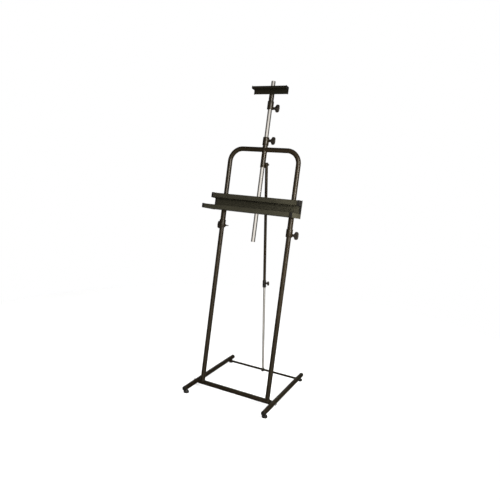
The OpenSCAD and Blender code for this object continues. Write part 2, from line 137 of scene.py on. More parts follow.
def tube_wall(outer, inner, low, high):
    """Profile of a tube's wall with rounded rims, for a lathe that closes on itself."""
    middle, half = (outer + inner)/2, (outer - inner)/2
    return (arc(middle, high - half, half, 0, 180) + arc(middle, low + half, half, 180, 360))


def rounded(corners, closed=True, steps=5):
    """An outline or an open line from (x, y, radius) corners."""
    out, n = [], len(corners)
    for i, (x, y, r) in enumerate(corners):
        p = Vector((x, y))
        u = (Vector(corners[i - 1][:2]) - p).normalized()
        v = (Vector(corners[(i + 1) % n][:2]) - p).normalized()
        if r == 0 or (not closed and i in (0, n - 1)):
            out.append(p)
            continue
        half = u.angle(v)/2
        centre = p + (u + v).normalized()*r/math.sin(half)
        first, last = p + u*r/math.tan(half) - centre, p + v*r/math.tan(half) - centre
        start = math.atan2(first.y, first.x)
        turn = (math.atan2(last.y, last.x) - start + math.pi) % (2*math.pi) - math.pi
        out += [Vector(q) for q in arc(centre.x, centre.y, r, math.degrees(start),
                                       math.degrees(start + turn), steps)]
    return out


def offset(points, distance, closed=True):
    """The line moved to its left."""
    out, n = [], len(points)
    for i, p in enumerate(points):
        before = p - points[i - 1] if closed or i else None
        after = points[(i + 1) % n] - p if closed or i < n - 1 else None
        ways = [w.normalized() for w in (before, after) if w is not None and w.length > 1e-9]
        along = sum(ways, Vector((0, 0))).normalized()
        out.append(p + Vector((-along.y, along.x))*distance/max(0.5, along.dot(ways[0])))
    return out


def folded(line, thickness):
    """Outline of a folded sheet round its middle line of (x, y, bend) corners, with rounded edges."""
    middle = rounded(line, closed=False)
    sides = [offset(middle, side*thickness/2, closed=False) for side in (1, -1)]
    tips = []
    for end, near in ((middle[-1], middle[-2]), (middle[0], middle[1])):
        way = (end - near).normalized()
        sideways = Vector((-way.y, way.x))
        tips.append([end + (sideways*math.cos(a) + way*math.sin(a))*thickness/2
                     for a in (math.pi*k/6 for k in range(1, 6))])
    return sides[0] + tips[0] + sides[1][::-1] + tips[1]


def prism(outline, low, high, bevel):
    """An outline drawn out along z, with bevelled ends."""
    points = [Vector(p) for p in outline]
    area = sum(a.x*b.y - b.x*a.y for a, b in zip(points, points[1:] + points[:1]))
    small = offset(points, bevel if area > 0 else -bevel)
    levels = ((small, low), (points, low + bevel), (points, high - bevel), (small, high))
    return loft([[Vector((p.x, p.y, z)) for p in ring] for ring, z in levels])


# Turns an outline of (forward, up), drawn out along z, into one drawn out along the easel's x
ACROSS = Matrix(((0, 0, 1, 0), (-1, 0, 0, 0), (0, 1, 0, 0), (0, 0, 0, 1)))


def across(outline, x1, x2, bevel):
    return moved(prism(outline, x1, x2, bevel), ACROSS)


def hexagon(flats):
    """Radius of a hexagon as a function of the angle."""
    return lambda a: flats/2/math.cos((a + math.pi/6) % (math.pi/3) - math.pi/6)


CHAMFER_STEPS = 4


def nut(flats, bore, low, high):
    """Hexagon nut with chamfered corners and a countersunk bore."""
    edge, face, corner = hexagon(flats), 0.475*flats, flats/math.sqrt(3)
    drop = (corner - face)*math.tan(math.radians(30))
    rise = [k/CHAMFER_STEPS for k in range(CHAMFER_STEPS + 1)]
    levels = ([(low + drop*s, face + (corner - face)*s) for s in rise]
              + [(high - drop*s, face + (corner - face)*s) for s in reversed(rise)])
    rings = [circle(lambda a, limit=limit: min(edge(a), limit), z, 60) for z, limit in levels]
    sink = 0.5*MM
    rings += [circle(r, z, 60) for r, z in ((bore + sink, high), (bore, high - sink),
                                            (bore, low + sink), (bore + sink, low))]
    return loft(rings, wrap=True)


def threaded(radius, low, high, pitch, segments=32, steps=6):
    """Threaded rod with a true helix that runs out at both ends."""
    depth, count = 0.54*pitch, math.ceil((high - low)/pitch*steps)
    rings = []
    for k in range(count + 1):
        z = low + (high - low)*k/count
        end = min(1.0, (z - low)/pitch, (high - z)/pitch)

        def size(a, z=z, end=end):
            ridge = 1 - abs(2*((z/pitch - a/(2*math.pi)) % 1) - 1)
            return radius - depth*(1 - min(ridge, end))
        rings.append(circle(size, z, segments))
    return loft(rings)


def disc(radius, low, high, edge):
    """Round plate with rounded edges."""
    return lathe(arc(radius - edge, low + edge, edge, -90, 0, 3)
                 + arc(radius - edge, high - edge, edge, 0, 90, 3))


def bead(line, centre, radius, closed=True):
    """Weld bead along a line of points: a rope with ripples, wrapped round a centre."""
    rings, n = [], len(line)
    for i, p in enumerate(line):
        before = line[i - 1] if closed or i else p
        after = line[(i + 1) % n] if closed or i < n - 1 else p
        way = (after - before).normalized()
        side = way.cross(p - centre).normalized()
        out = side.cross(way)
        size = radius*(1 + 0.14*math.cos(2*math.pi*i/5))
        if not closed:
            size *= min(1.0, 0.35 + 0.3*min(i, n - 1 - i))
        rings.append([p + (out*math.cos(a) + side*math.sin(a))*size
                      for a in (2*math.pi*k/10 for k in range(10))])
    return loft(rings, wrap=closed)


# ---------------------------------------------------------------- materials

def nodes_of(owner):
    owner.use_nodes = True
    owner.node_tree.nodes.clear()
    return owner.node_tree


class Surface:
    """A Principled material with a few helpers for its nodes."""

    def __init__(self, name, metallic=0.0, **fixed):
        self.material = bpy.data.materials.new(name)
        self.tree = nodes_of(self.material)
        self.shader = self.add("ShaderNodeBsdfPrincipled")
        self.shader.inputs["Metallic"].default_value = metallic
        for socket, value in fixed.items():
            self.shader.inputs[socket.replace("_", " ")].default_value = value
        out = self.add("ShaderNodeOutputMaterial")
        self.join(self.shader.outputs["BSDF"], out.inputs["Surface"])
        self.where = self.add("ShaderNodeTexCoord").outputs["Object"]
        self.bumps = None

    def add(self, kind, **inputs):
        node = self.tree.nodes.new(kind)
        for name, value in inputs.items():
            node.inputs[name].default_value = value
        return node

    def join(self, a, b):
        self.tree.links.new(a, b)

    def stretched(self, scale, turn=0.0):
        """The object's coordinates, scaled by an amount per axis, after a turn about x."""
        node = self.add("ShaderNodeMapping", Scale=scale, Rotation=(turn, 0, 0))
        self.join(self.where, node.inputs["Vector"])
        return node.outputs["Vector"]

    def noise(self, scale, detail=2.0, roughness=0.5, where=None):
        node = self.add("ShaderNodeTexNoise", Scale=scale, Detail=detail, Roughness=roughness)
        self.join(where or self.where, node.inputs["Vector"])
        return node.outputs["Fac"]

    def ramp(self, value, low, high):
        """0 below low, 1 above high."""
        node = self.tree.nodes.new("ShaderNodeMapRange")
        node.inputs["From Min"].default_value = low
        node.inputs["From Max"].default_value = high
        self.join(value, node.inputs["Value"])
        return node.outputs["Result"]

    def between(self, value, low, high):
        """low where the value is 0 and high where it is 1."""
        node = self.tree.nodes.new("ShaderNodeMapRange")
        node.inputs["To Min"].default_value = low
        node.inputs["To Max"].default_value = high
        self.join(value, node.inputs["Value"])
        return node.outputs["Result"]

    def blend(self, value, a, b):
        """Colour a where the value is 0, and b where it is 1. Each is a colour or another output."""
        node = self.tree.nodes.new("ShaderNodeMix")
        node.data_type = "RGBA"
        self.join(value, node.inputs["Factor"])
        for socket, colour in ((node.inputs[6], a), (node.inputs[7], b)):
            if isinstance(colour, tuple):
                socket.default_value = (*colour, 1)
            else:
                self.join(colour, socket)
        return node.outputs[2]

    def multiply(self, a, b):
        node = self.tree.nodes.new("ShaderNodeMath")
        node.operation = "MULTIPLY"
        self.join(a, node.inputs[0])
        self.join(b, node.inputs[1])
        return node.outputs[0]

    def upward(self, low, high):
        """0 on sides and undersides, 1 on faces that look up, where dust settles."""
        tilt = self.add("ShaderNodeSeparateXYZ")
        self.join(self.add("ShaderNodeNewGeometry").outputs["Normal"], tilt.inputs["Vector"])
        return self.ramp(tilt.outputs["Z"], low, high)

    def colour(self, output):
        self.join(output, self.shader.inputs["Base Color"])

    def rough(self, output):
        self.join(output, self.shader.inputs["Roughness"])

    def bump(self, height, depth, strength=1.0):
        """Adds a bump of a real depth in metres on top of the earlier ones."""
        node = self.add("ShaderNodeBump", Strength=strength, Distance=depth)
        self.join(height, node.inputs["Height"])
        if self.bumps:
            self.join(self.bumps, node.inputs["Normal"])
        self.bumps = node.outputs["Normal"]
        self.join(self.bumps, self.shader.inputs["Normal"])


LEAN = math.atan2(UP.y, UP.z)
PAINT_SHINE = (1.0, 0.93, 0.80)     # satin black reflects a little warm
CHIP = 1.1                          # chips show primer, a little lighter than rubbed paint
DUST = (0.10, 0.094, 0.080)
DUSTY = 0.75                        # roughness under dust
# How much each kind of wear hides the paint where it is strongest
SPECKLED = 0.10
RUBBED = 0.35
CHIPPED = 0.35
DUSTED = 0.12
# Heights of the relief, in metres
ORANGE_PEEL = 0.00012
WAVES = 0.0003
CHIP_DEPTH = 0.00006


def coated(name, dark, light, worn, gloss, matt, shine):
    """Satin paint or powder coat on steel: orange peel, uneven gloss, dust and fine scuffs."""
    s = Surface(name, Specular_IOR_Level=shine, Specular_Tint=(*PAINT_SHINE, 1))
    drift = s.noise(9.0, 3.0)
    base = s.blend(s.ramp(drift, 0.35, 0.65), dark, light)
    speckle = s.ramp(s.noise(1400.0, 1.0), 0.55, 0.75)
    base = s.blend(s.between(speckle, 0.0, SPECKLED), base, worn)
    # Rub marks along the tubes, in patches where hands and clamps reach
    streaks = s.noise(1.0, 3.0, 0.65, s.stretched((420.0, 420.0, 14.0), LEAN))
    patches = s.noise(16.0, 2.0)
    rubbed = s.multiply(s.ramp(streaks, 0.58, 0.72), s.ramp(patches, 0.48, 0.66))
    # A few small chips, and dust on what faces up
    chips = s.multiply(s.ramp(s.noise(230.0, 3.0, 0.6), 0.70, 0.74), s.ramp(s.noise(21.0, 1.0), 0.50, 0.60))
    dust = s.multiply(s.upward(0.70, 1.0), s.ramp(s.noise(55.0, 5.0, 0.65), 0.38, 0.70))
    base = s.blend(s.between(rubbed, 0.0, RUBBED), base, worn)
    base = s.blend(s.between(chips, 0.0, CHIPPED), base, tuple(CHIP*c for c in worn))
    s.colour(s.blend(s.between(dust, 0.0, DUSTED), base, DUST))
    haze = s.blend(s.between(rubbed, 0.0, 0.6), (gloss,)*3, (matt,)*3)
    cloud = s.blend(s.ramp(s.noise(60.0, 4.0), 0.3, 0.7), haze, (matt,)*3)
    s.rough(s.blend(s.between(dust, 0.0, 0.6), cloud, (DUSTY,)*3))
    s.bump(s.noise(650.0, 2.0), ORANGE_PEEL, 0.55)
    s.bump(s.noise(45.0, 1.0), WAVES, 0.15)
    s.bump(chips, -CHIP_DEPTH, 0.3)
    return s.material


def plated(name, bright, dull, gloss, matt, lines, smudge):
    """Plated steel: polished along its length, with faint smudges."""
    s = Surface(name, metallic=1.0)
    cloud = s.noise(34.0, 5.0, 0.6)
    marks = s.ramp(cloud, 0.46, 0.70)
    polish = s.noise(1.0, 2.0, 0.6, s.stretched((900.0, 900.0, 9.0), LEAN))
    s.colour(s.blend(s.between(marks, 0.0, smudge), bright, dull))
    s.rough(s.blend(s.between(marks, 0.0, 0.8),
                    s.blend(polish, (gloss,)*3, (gloss*1.35,)*3), (matt,)*3))
    s.bump(polish, lines, 0.35)
    return s.material


def moulded(name, dark, light, gloss, matt, grain, depth):
    """Moulded plastic or rubber: fine eroded grain, dusty in places."""
    s = Surface(name, Specular_IOR_Level=0.15, Specular_Tint=(*PAINT_SHINE, 1))
    dust = s.noise(70.0, 4.0, 0.6)
    s.colour(s.blend(s.ramp(dust, 0.42, 0.72), dark, light))
    s.rough(s.blend(s.noise(grain/3, 2.0), (gloss,)*3, (matt,)*3))
    s.bump(s.noise(grain, 2.0, 0.6), depth, 0.6)
    return s.material


MATERIALS = {
    "black_steel": coated("black_steel", (0.0044, 0.0029, 0.0013), (0.0068, 0.0047, 0.0023),
                          (0.027, 0.021, 0.014), 0.26, 0.37, 0.22),
    "ledge_paint": coated("ledge_paint", (0.0125, 0.0115, 0.0074), (0.0160, 0.0148, 0.0097),
                          (0.042, 0.039, 0.029), 0.34, 0.48, 0.13),
    "hood_paint": coated("hood_paint", (0.0040, 0.0037, 0.0021), (0.0060, 0.0050, 0.0033),
                         (0.018, 0.015, 0.012), 0.34, 0.48, 0.08),
    "chrome": plated("chrome", (0.80, 0.785, 0.76), (0.66, 0.64, 0.61), 0.14, 0.24, 0.000003, 0.35),
    "zinc": plated("zinc", (0.17, 0.16, 0.15), (0.08, 0.072, 0.065), 0.30, 0.48, 0.00002, 0.9),
    "black_plastic": moulded("black_plastic", (0.0034, 0.0032, 0.0028), (0.0062, 0.0058, 0.0050),
                             0.42, 0.58, 1900.0, 0.00008),
    "knob_plastic": moulded("knob_plastic", (0.0060, 0.0048, 0.0038), (0.0115, 0.0095, 0.0076),
                            0.34, 0.50, 2300.0, 0.00006),
    "rubber": moulded("rubber", (0.0075, 0.0073, 0.0070), (0.0200, 0.0190, 0.0175),
                      0.66, 0.86, 1500.0, 0.00010),
}

for node, slot in SLOT_OF.items():
    NODES[node].data.materials.clear()
    NODES[node].data.materials.append(MATERIALS[slot])

SHARP_DEGREES = 32


def piece(name, shapes, slot, body, replaces=(), where=FLOOR):
    """Makes one piece from shapes given in a place, and lets it ride on a body."""
    points, faces = joined(shapes)
    mesh = bpy.data.meshes.new(name)
    mesh.from_pydata([where @ p for p in points], [], faces)
    work = bmesh.new()
    work.from_mesh(mesh)
    bmesh.ops.recalc_face_normals(work, faces=work.faces)
    work.to_mesh(mesh)
    work.free()
    mesh.polygons.foreach_set("use_smooth", [True]*len(mesh.polygons))
    mesh.set_sharp_from_angle(angle=math.radians(SHARP_DEGREES))
    mesh.materials.append(MATERIALS[slot])
    made = bpy.data.objects.new(name, mesh)
    bpy.context.scene.collection.objects.link(made)
    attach(made, body)
    if replaces:
        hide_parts(*replaces)
    return made


# ---------------------------------------------------------------- base

RAIL_LOW, RAIL_HIGH = span("side_rail_right")
TUBE_R = (RAIL_HIGH.x - RAIL_LOW.x)/2
RAIL_X = (RAIL_LOW.x + RAIL_HIGH.x)/2
RAIL_Z = (RAIL_LOW.z + RAIL_HIGH.z)/2
BEAD_R = 1.5*MM
BEAD_POINTS = 90


def saddle(radius, other):
    """Where a tube of one radius along z meets a crossing one along x: points on its foot."""
    ring = circle(radius, 0.0, BEAD_POINTS)
    return [Vector((p.x, p.y, math.sqrt(max(other**2 - p.y**2, (0.25*other)**2)))) for p in ring]


def make_rail_caps():
    for side_name, side in SIDES.items():
        for end_name, end in ENDS.items():
            node = f"rail_cap_{end_name}_{side_name}"
            where = place((side*RAIL_X, end*RAIL_HIGH.y, RAIL_Z), (0, end, 0))
            low, high = span(node, where)
            head, lip = high.z, 0.9*MM
            plug = 0.86*TUBE_R
            crown = [(TUBE_R*math.cos(a)**0.62, lip + (head - lip)*math.sin(a)**1.1)
                     for a in (math.radians(d) for d in range(0, 88, 6))]
            profile = ([(plug - 0.6*MM, low.z), (plug, low.z + 1.2*MM), (plug, 0.0),
                        (TUBE_R - 0.25*MM, 0.0), (TUBE_R, 0.25*MM)] + crown)
            piece(f"cap_{end_name}_{side_name}", [lathe(profile, segments=64)], "black_plastic",
                  "base", (node,), where)


make_rail_caps()


def make_rear_bar():
    low, high = span("rear_bar")
    radius, y = (high.z - low.z)/2, (low.y + high.y)/2
    for name, side in SIDES.items():
        where = place((side*RAIL_X, y, RAIL_Z), (-side, 0, 0), (0, 0, 1))
        # The rail runs along the place's y, so its foot is measured across x
        foot = [Vector((p.y, p.x, p.z)) for p in saddle(radius*1.02, TUBE_R)]
        piece(f"rear_bar_weld_{name}", [bead(foot, Vector((0, 0, TUBE_R)), 0.8*BEAD_R)],
              "black_steel", "base", (), where)


make_rear_bar()

JAM_NUT_FLATS = 13*MM
STUD_PITCH = 1.25*MM
NOTCHES = 24
NOTCH_DEPTH = 0.35*MM
PAD_SEGMENTS = 96
# Shares of the pad's height: the top of its upright side, and the start of its dome
PAD_SIDE = 0.46
PAD_DOME = 0.54


def foot_pad(radius, height, stud):
    """Rubber pad: a round foot with grip notches in its side and a domed top round the stud."""
    side_top = 0.6*height
    dome = [(radius - 6.0*MM*(1 - math.cos(a)) - 0.5*MM, PAD_DOME*height + (1 - PAD_DOME)*height*math.sin(a))
            for a in (math.radians(d) for d in range(15, 91, 15))]
    profile = ([(radius - 3.0*MM, 0.0), (radius - 1.2*MM, 0.5*MM), (radius - 0.2*MM, 2.0*MM),
                (radius, 2.8*MM), (radius, PAD_SIDE*height), (radius - 0.5*MM, PAD_DOME*height)]
               + dome + [(stud + 0.4*MM, height)])

    def ring(r, z):
        def notched(a):
            return r - NOTCH_DEPTH*max(0.0, math.cos(NOTCHES*a))
        return circle(notched if 2.5*MM < z < side_top else r, z, PAD_SEGMENTS)

    return loft([ring(r, z) for r, z in profile])


def make_feet():
    rail_under = span("foot_inserts")[0].z
    for side_name in SIDES:
        for end_name in ENDS:
            key = f"{end_name}_{side_name}"
            body = f"foot_{key}"
            low, high = span(f"foot_{key}")
            where = Matrix.Translation(((low.x + high.x)/2, (low.y + high.y)/2, 0))
            radius, height = (high.x - low.x)/2, high.z
            stud_low, stud_high = span(f"foot_stud_{key}")
            stud = (stud_high.x - stud_low.x)/2
            piece(f"pad_{key}", [foot_pad(radius, height, stud)], "rubber", body, (f"foot_{key}",), where)
            screw = [threaded(stud, stud_low.z, stud_high.z, STUD_PITCH),
                     nut(JAM_NUT_FLATS, stud - 0.3*MM, height + 0.2*MM, rail_under - 0.4*MM)]
            piece(f"stud_{key}", screw, "zinc", body, (f"foot_stud_{key}",), where)


make_feet()


# ---------------------------------------------------------------- leaning frame

LEG_HIGH = span("upright_right", LEANING)[1]
LEG_X = LEG_HIGH.x - TUBE_R
TOP_Z = LEG_HIGH.z - TUBE_R
SOCKET_R = span("mast_socket", LEANING)[1].x
# The leg's straight part ends where the bend begins, as low as the bend's radius under the top bar
BEND_R = 70*MM
BEND_STEPS = 20
EMBED = 0.97        # how deep a tube's end sinks into the tube that it is welded to


def make_uprights():
    ring = circle(TUBE_R, 0.0, 64)
    foot = [Vector((p.x, p.y, EMBED*math.sqrt(max(TUBE_R**2 - p.y**2, 0.0)))) for p in ring]
    rings = [[p + Vector((LEG_X, 0, 0)) for p in foot]]
    straight = TOP_Z - BEND_R
    for z in (2*TUBE_R, straight/2, straight - 2*TUBE_R):
        rings.append([p + Vector((LEG_X, 0, z)) for p in ring])
    for k in range(BEND_STEPS + 1):
        a = math.pi/2*k/BEND_STEPS
        centre = Vector((LEG_X - BEND_R, 0, straight)) + Vector((math.cos(a), 0, math.sin(a)))*BEND_R
        out = Vector((math.cos(a), 0, math.sin(a)))
        rings.append([centre + out*p.x + Vector((0, p.y, 0)) for p in ring])
    rings.append([Vector((2*SOCKET_R, p.y, TOP_Z + p.x)) for p in ring])
    # The end follows the socket's wall all over, so that it stays out of the mast's bore
    for part in (1.0, 0.75, 0.5, 0.25, 0.02):
        rings.append([Vector((EMBED*math.sqrt(SOCKET_R**2 - (part*p.y)**2), part*p.y, TOP_Z + part*p.x))
                      for p in ring])
    tube = loft(rings)

    leg_weld = bead([p + Vector((LEG_X, 0, 0)) for p in saddle(TUBE_R*1.03, TUBE_R)],
                    Vector((LEG_X, 0, 0.6*TUBE_R)), BEAD_R)
    face = [Vector((1.01*math.sqrt(SOCKET_R**2 - p.y**2), p.y, TOP_Z + p.x))
            for p in circle(TUBE_R*1.02, 0.0, BEAD_POINTS)]
    top_weld = bead(face, Vector((SOCKET_R, 0, TOP_Z)), BEAD_R)
    for name, side in SIDES.items():
        parts = [mirrored(s, side) for s in (tube, leg_weld, top_weld)]
        piece(f"upright_tube_{name}", parts, "black_steel", "frame", (f"upright_{name}",), LEANING)


make_uprights()


def make_lug():
    """Plate behind the socket that the strut hangs on, with a weld down each side."""
    low, high = span("strut_lug", LEANING)
    half, radius = (high.x - low.x)/2, (high.z - low.z)/2
    z = (low.z + high.z)/2
    root = math.sqrt(SOCKET_R**2 - half**2)
    outline = rounded([(-high.y, z - radius, 0.99*radius), (-high.y, z + radius, 0.99*radius),
                       (-root, z + radius, 0), (-root, z - radius, 0)])
    parts = [across(outline, -half, half, 0.5*MM)]
    for side in (-1, 1):
        line = [Vector((side*half, root + 0.6*MM, z + radius*0.92*(2*k/24 - 1))) for k in range(25)]
        parts.append(bead(line, Vector((0, 0, z)), 1.3*MM, closed=False))
    piece("lug_plate", parts, "black_steel", "frame", ("strut_lug",), LEANING)


make_lug()


def make_pivot_bolts():
    """Shoulder bolts through the rails: a low round head with a hexagon socket."""
    parts = []
    head_low, head_high = span("pivot_bolts", LEANING, lambda p: p.x > RAIL_HIGH.x)
    radius = (head_high.y - head_low.y)/2
    shank = span("pivot_bolts", LEANING, lambda p: 0 < p.x < RAIL_LOW.x)
    shank_r = (shank[1].y - shank[0].y)/2
    key = hexagon(5*MM)
    low, high = RAIL_HIGH.x + 0.3*MM, head_high.x
    for side in (-1, 1):
        rings = [circle(shank_r, shank[0].x, 60), circle(shank_r, low, 60), circle(radius - 0.5*MM, low, 60),
                 circle(radius, low + 0.5*MM, 60)]
        rings += [circle(r, z, 60) for r, z in arc(radius - 1.4*MM, high - 1.4*MM, 1.4*MM, 0, 90, 4)]
        rings += [circle(lambda a: key(a)*1.06, high, 60), circle(key, high - 0.3*MM, 60),
                  circle(key, high - 2.4*MM, 60), circle(0.3*MM, high - 2.9*MM, 60)]
        turn = place((0, 0, 0), (side, 0, 0), (0, 0, 1))
        parts.append(moved(loft(rings), turn))
    piece("pivot_screws", parts, "zinc", "frame", ("pivot_bolts",), LEANING)


make_pivot_bolts()


MAST_WALL = 1.2*MM


def make_mast():
    low, high = span("mast_tube", LEANING)
    radius = (high.x - low.x)/2
    piece("mast_pipe", [lathe(tube_wall(radius, radius - MAST_WALL, low.z, high.z), True, 96)],
          "chrome", "mast", ("mast_tube",), LEANING)


make_mast()


# ---------------------------------------------------------------- clamps and knobs

NEAR = 40*MM            # what is closer than this to a clamp's screw or middle belongs to it
BAND_T = 3*MM
BAND_STEPS = 56
EAR_GAP = 5*MM
EAR_T = 4*MM
EAR_R = 8*MM
EAR_WELD_R = 0.8*MM
SCREW_PITCH = 1.0*MM
NUT_BORE = 2.8*MM
WASHER_R = 6*MM


def clamp_band(node, x, screw_at):
    """Split band round the z axis at x, with two ears behind that the screw runs through."""
    low, high = span(node, LEANING, lambda p: abs(p.x - x) < NEAR)
    outer = -low.y
    inner = outer - BAND_T
    section = rounded([(inner, low.z, 0.4*MM), (outer, low.z, 1.1*MM),
                       (outer, high.z, 1.1*MM), (inner, high.z, 0.4*MM)], steps=3)
    open_half = math.asin((EAR_GAP/2 + 0.2*MM)/inner)
    rings = []
    for k in range(BAND_STEPS + 1):
        a = math.pi/2 + open_half + (2*math.pi - 2*open_half)*k/BAND_STEPS
        rings.append([Vector((x + p.x*math.cos(a), p.x*math.sin(a), p.y)) for p in section])
    parts = [loft(rings)]
    y, z = screw_at.y, screw_at.z
    outline = rounded([(-y - EAR_R, z - EAR_R, 0.98*EAR_R), (-y - EAR_R, z + EAR_R, 0.98*EAR_R),
                       (-inner - 0.6*MM, z + EAR_R, 0), (-inner - 0.6*MM, z - EAR_R, 0)], steps=8)
    # The weld lies low in the corner, clear of the knob's collar
    weld_x = EAR_GAP/2 + EAR_T + 0.3*MM
    weld_y = math.sqrt(outer**2 - weld_x**2) - 0.2*MM
    for side in (-1, 1):
        near, far = sorted((x + side*EAR_GAP/2, x + side*(EAR_GAP/2 + EAR_T)))
        parts.append(across(outline, near, far, 0.6*MM))
        line = [Vector((x + side*weld_x, weld_y, z + EAR_R*0.85*(2*k/16 - 1))) for k in range(17)]
        parts.append(bead(line, Vector((x, 0, z)), EAR_WELD_R, closed=False))
    return parts


# A wing knob along its length: a small foot, a neck that opens into wings, and a rounded tip
KNOB_FOOT = 0.8*MM
KNOB_TIP = 0.30         # share of the length that the tip takes
WINGS_FROM = 0.24       # share of the length where the neck begins to open
WINGS_OVER = 0.30       # share of the length over which it opens
SQUARENESS = 3.2        # of the wings' section: 2 is an ellipse
HUB_BLEND = 7           # how sharply the wings meet the round hub
WING_T = 8*MM
THUMB_WING_T = 6*MM


def wing_knob(start, reach, half_span, hub, thick):
    """Moulded wing knob along z: a slim neck that opens into two full, round-cornered wings along x."""
    length, neck = reach - start, hub*0.92
    tip = KNOB_TIP*length
    body = length - tip - KNOB_FOOT
    stations = ([KNOB_FOOT*k/3 for k in range(4)] + [KNOB_FOOT + body*k/14 for k in range(1, 15)]
                + [length - tip + tip*math.sin(math.radians(9*k)) for k in range(1, 11)])
    rings = []
    for s in stations:
        share = s/length
        spread = min(1.0, max(0.0, (share - WINGS_FROM)/WINGS_OVER))
        spread = spread*spread*(3 - 2*spread)
        inset = max(0.0, KNOB_FOOT - s)*0.6
        # The outer end closes in an ellipse, faster across the wings than through them
        close = math.sqrt(max(0.0, 1 - max(0.0, (s - (length - tip))/tip)**2))
        wing = (neck + (half_span - neck)*spread)*(0.55 + 0.45*close) - inset
        flat = thick/2*(1.25 - 0.25*spread)*(0.25 + 0.75*close) - 0.7*inset
        round_hub = hub*(1.0 - 0.10*share)*(0.45 + 0.55*close) - inset

        def size(a, wing=wing, flat=flat, round_hub=round_hub):
            blade = (abs(math.cos(a)/wing)**SQUARENESS
                     + abs(math.sin(a)/flat)**SQUARENESS)**(-1/SQUARENESS)
            return (blade**HUB_BLEND + round_hub**HUB_BLEND)**(1/HUB_BLEND)
        rings.append(circle(size, start + s, 72))
    return loft(rings)


def make_clamp(key, band_node, nut_node, knob_node, screw_node, body, stands_for_nut=True):
    """Band, nut, knob and threaded screw of one clamp."""
    screw = SCREWS[key]
    at = LEANING.inverted() @ screw.translation
    knob_body = BODY_OF[knob_node]
    piece(f"{key}_band", clamp_band(band_node, at.x, at), "black_steel", body, (band_node,), LEANING)

    low, high = span(nut_node, screw, lambda p: abs(p.z) < NEAR)
    flats = min(high.y - low.y, high.x - low.x)
    ear = EAR_GAP/2 + EAR_T
    washer = disc(WASHER_R, ear - 0.1*MM, ear + 0.2*MM, 0.1*MM)
    piece(f"{key}_nut", [nut(flats, NUT_BORE, low.z, high.z), washer], "zinc", body,
          (nut_node,) if stands_for_nut else (), screw)

    low, high = span(knob_node, screw)
    hub = high.y
    collar = lathe([(hub*0.86, low.z), (hub*1.04, low.z + 0.4*MM), (hub*1.04, low.z + 1.6*MM),
                    (hub*0.9, low.z + 2.0*MM)])
    piece(f"{key}_grip", [wing_knob(low.z, high.z, high.x, hub, WING_T), collar], "knob_plastic",
          knob_body, (knob_node,), screw)
    low, high = span(screw_node, screw)
    piece(f"{key}_thread", [threaded(high.y, low.z, high.z, SCREW_PITCH)], "zinc", knob_body,
          (screw_node,), screw)


make_clamp("socket_knob", "socket_clamp", "socket_clamp_nut", "socket_knob", "socket_knob_screw", "frame")
make_clamp("top_clamp_knob", "holder_clamp", "holder_clamp_nut", "holder_knob", "holder_knob_screw",
           "top_clamp")
# Both ledge nuts are one CAD node, and the left one stands for it
for side_name in SIDES:
    make_clamp(f"ledge_knob_{side_name}", f"ledge_clamp_{side_name}", "ledge_clamp_nuts",
               f"ledge_knob_{side_name}", f"ledge_knob_screw_{side_name}", "ledge", side_name == "left")


# ---------------------------------------------------------------- top clamp and ledge: folded sheet

SHEET = (LEANING.inverted() @ Vector(MOUNTS["shelf_floor"]["pos_m"])).z - span("ledge_shelf", LEANING)[0].z
GROOVE_Z = (LEANING.inverted() @ Vector(MOUNTS["groove_floor"]["pos_m"])).z - SHEET
BEND = 2.2*MM
HEM_BEND = 0.9*MM
HEM = 6*MM
HALF = SHEET/2
FORWARD_OF = 10*MM      # a lip is what lies further forward of the back plate than this
SHEET_BEVEL = 0.3*MM
END_BEVEL = 0.7*MM
CAP_MARGIN = 1.5*MM     # how far the end plates and plugs stand out past the sheet
RIVET_STANDS = 1.2*MM
RIVET_DOME = 1.7*MM


def hem_up(x, top):
    """Corners of a lip's top edge, folded back on its inner side."""
    return [(x, top - HALF, HEM_BEND), (x - 2*HEM_BEND, top - HALF, HEM_BEND),
            (x - 2*HEM_BEND, top - HEM, 0)]


def dome(radius, height):
    """Rivet head, from its seat up."""
    return [(radius*math.cos(a), height*math.sin(a)) for a in (math.radians(d) for d in range(0, 88, 8))]


def rivet_heads(node, xs):
    """Domed heads in front of a sheet, where the CAD rivets are."""
    parts = []
    for x in xs:
        low, high = span(node, LEANING, lambda p: abs(p.x - x) < 20*MM)
        head = (high.x - low.x)/2
        seat = low.y + RIVET_STANDS
        for z in (low.z + head, high.z - head):
            where = place((x, seat, z), (0, -1, 0))
            profile = [(head*0.5, -0.4*MM), (head*1.02, -0.05*MM)] + dome(head, RIVET_DOME)
            parts.append(moved(lathe(profile, segments=40), where))
    return parts


